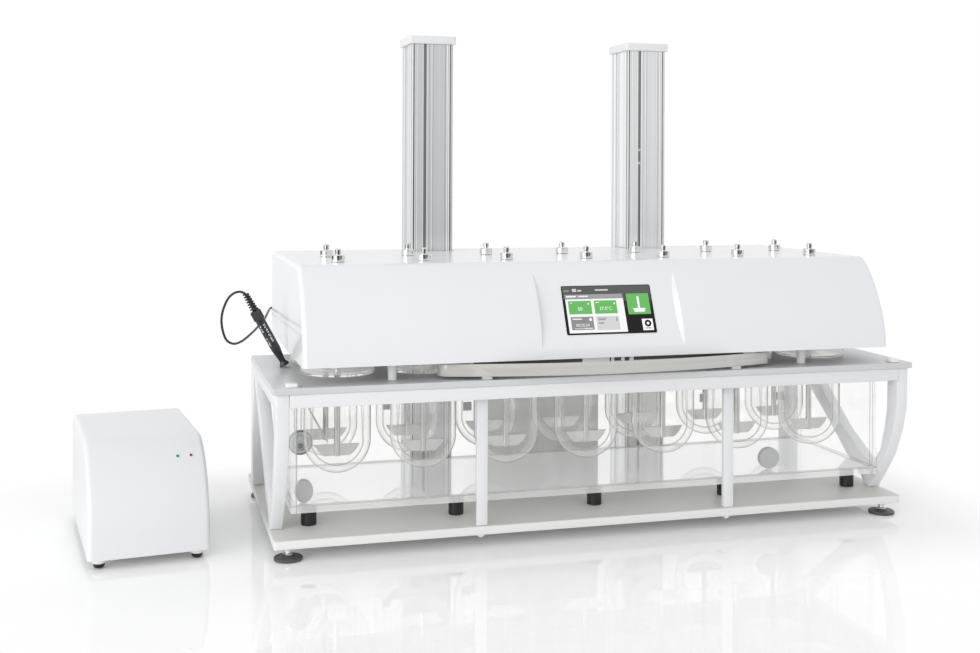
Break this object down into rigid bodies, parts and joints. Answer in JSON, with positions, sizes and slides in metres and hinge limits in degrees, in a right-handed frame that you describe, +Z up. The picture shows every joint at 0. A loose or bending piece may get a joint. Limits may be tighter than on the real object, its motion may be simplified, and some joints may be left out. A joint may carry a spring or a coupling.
{
  "type": "tablet dissolution tester",
  "caption": "Tablet dissolution tester with rows of stirred glass vessels in a clear water bath under a drive head that lifts on towers, beside a separate bath heater.",
  "frame": {"origin": "middle of the underside of the whole part, heater included, on the bench", "axes": "+X to the right along the rows of vessels as seen by the user, +Y from the front to the towers at the rear, +Z up"},
  "size_m": [1.4058, 0.5148, 0.855],
  "materials": {
    "powder": "gloss white",
    "board": "satin white",
    "base": "warm light grey",
    "plate": "satin grey",
    "glass": "clear",
    "acrylic": "clear",
    "steel": "brushed",
    "aluminium": "anodised",
    "rubber": "matte",
    "screen": "glossy",
    "grey": "satin grey",
    "plastic": "satin black"
  },
  "bodies": {
    "machine": {"base_plate": "base", "vessel_plate": "plate", "front_rail": "board", "rear_rail": "board", "water_bath": "acrylic", "supply_housing": "grey", "front_shield": "powder", "temperature_probe": "plastic", "probe_cable": "rubber", "heater_housing": "powder", "heater_base": "grey", "left_side_support": "board", "left_rear_leg": "board", "left_front_post": "board", "left_tower": "aluminium", "left_tower_cap": "powder", "right_side_support": "board", "right_rear_leg": "board", "right_front_post": "board", "right_tower": "aluminium", "right_tower_cap": "powder", "levelling_foot_front_left": "rubber", "levelling_foot_front_right": "rubber", "levelling_foot_rear_left": "rubber", "levelling_foot_rear_right": "rubber", "vessel_1": "glass", "vessel_2": "glass", "vessel_3": "glass", "vessel_4": "glass", "vessel_5": "glass", "vessel_6": "glass", "vessel_7": "glass", "vessel_8": "glass", "vessel_9": "glass", "vessel_10": "glass", "vessel_11": "glass", "vessel_12": "glass", "vessel_13": "glass", "vessel_14": "glass"},
    "drive_head": {"head_cover": "powder", "head_chassis": "aluminium", "touch_screen": "screen", "drive_motor": "plastic", "drive_belt": "rubber", "left_lift_carriage": "steel", "right_lift_carriage": "steel"},
    "stirrer_1": {"stirrer_1": "steel"},
    "stirrer_2": {"stirrer_2": "steel"},
    "stirrer_3": {"stirrer_3": "steel"},
    "stirrer_4": {"stirrer_4": "steel"},
    "stirrer_5": {"stirrer_5": "steel"},
    "stirrer_6": {"stirrer_6": "steel"},
    "stirrer_7": {"stirrer_7": "steel"},
    "stirrer_8": {"stirrer_8": "steel"},
    "stirrer_9": {"stirrer_9": "steel"},
    "stirrer_10": {"stirrer_10": "steel"},
    "stirrer_11": {"stirrer_11": "steel"},
    "stirrer_12": {"stirrer_12": "steel"},
    "stirrer_13": {"stirrer_13": "steel"},
    "stirrer_14": {"stirrer_14": "steel"}
  },
  "joints": [
    {"name": "head_lift", "type": "slide", "parent": "machine", "child": "drive_head", "axis": [0, 0, 1], "range_m": [0, 0.38]},
    {"name": "stirrer_1_spin", "type": "hinge", "parent": "drive_head", "child": "stirrer_1", "pos_m": [-0.28105, -0.0895, 0.452], "axis": [0, 0, 1], "continuous": true},
    {"name": "stirrer_2_spin", "type": "hinge", "parent": "drive_head", "child": "stirrer_2", "pos_m": [-0.13705, -0.0895, 0.452], "axis": [0, 0, 1], "continuous": true},
    {"name": "stirrer_3_spin", "type": "hinge", "parent": "drive_head", "child": "stirrer_3", "pos_m": [0.00695, -0.0895, 0.452], "axis": [0, 0, 1], "continuous": true},
    {"name": "stirrer_4_spin", "type": "hinge", "parent": "drive_head", "child": "stirrer_4", "pos_m": [0.15095, -0.0895, 0.452], "axis": [0, 0, 1], "continuous": true},
    {"name": "stirrer_5_spin", "type": "hinge", "parent": "drive_head", "child": "stirrer_5", "pos_m": [0.29495, -0.0895, 0.452], "axis": [0, 0, 1], "continuous": true},
    {"name": "stirrer_6_spin", "type": "hinge", "parent": "drive_head", "child": "stirrer_6", "pos_m": [0.43895, -0.0895, 0.452], "axis": [0, 0, 1], "continuous": true},
    {"name": "stirrer_7_spin", "type": "hinge", "parent": "drive_head", "child": "stirrer_7", "pos_m": [0.58295, -0.0895, 0.452], "axis": [0, 0, 1], "continuous": true},
    {"name": "stirrer_8_spin", "type": "hinge", "parent": "drive_head", "child": "stirrer_8", "pos_m": [-0.28105, 0.0405, 0.452], "axis": [0, 0, 1], "continuous": true},
    {"name": "stirrer_9_spin", "type": "hinge", "parent": "drive_head", "child": "stirrer_9", "pos_m": [-0.13705, 0.0405, 0.452], "axis": [0, 0, 1], "continuous": true},
    {"name": "stirrer_10_spin", "type": "hinge", "parent": "drive_head", "child": "stirrer_10", "pos_m": [0.00695, 0.0405, 0.452], "axis": [0, 0, 1], "continuous": true},
    {"name": "stirrer_11_spin", "type": "hinge", "parent": "drive_head", "child": "stirrer_11", "pos_m": [0.15095, 0.0405, 0.452], "axis": [0, 0, 1], "continuous": true},
    {"name": "stirrer_12_spin", "type": "hinge", "parent": "drive_head", "child": "stirrer_12", "pos_m": [0.29495, 0.0405, 0.452], "axis": [0, 0, 1], "continuous": true},
    {"name": "stirrer_13_spin", "type": "hinge", "parent": "drive_head", "child": "stirrer_13", "pos_m": [0.43895, 0.0405, 0.452], "axis": [0, 0, 1], "continuous": true},
    {"name": "stirrer_14_spin", "type": "hinge", "parent": "drive_head", "child": "stirrer_14", "pos_m": [0.58295, 0.0405, 0.452], "axis": [0, 0, 1], "continuous": true}
  ],
  "couplings": [
    {"joint": "stirrer_2_spin", "follows": "stirrer_1_spin", "ratio": 1},
    {"joint": "stirrer_3_spin", "follows": "stirrer_1_spin", "ratio": 1},
    {"joint": "stirrer_4_spin", "follows": "stirrer_1_spin", "ratio": 1},
    {"joint": "stirrer_5_spin", "follows": "stirrer_1_spin", "ratio": 1},
    {"joint": "stirrer_6_spin", "follows": "stirrer_1_spin", "ratio": 1},
    {"joint": "stirrer_7_spin", "follows": "stirrer_1_spin", "ratio": 1},
    {"joint": "stirrer_8_spin", "follows": "stirrer_1_spin", "ratio": 1},
    {"joint": "stirrer_9_spin", "follows": "stirrer_1_spin", "ratio": 1},
    {"joint": "stirrer_10_spin", "follows": "stirrer_1_spin", "ratio": 1},
    {"joint": "stirrer_11_spin", "follows": "stirrer_1_spin", "ratio": 1},
    {"joint": "stirrer_12_spin", "follows": "stirrer_1_spin", "ratio": 1},
    {"joint": "stirrer_13_spin", "follows": "stirrer_1_spin", "ratio": 1},
    {"joint": "stirrer_14_spin", "follows": "stirrer_1_spin", "ratio": 1}
  ]
}
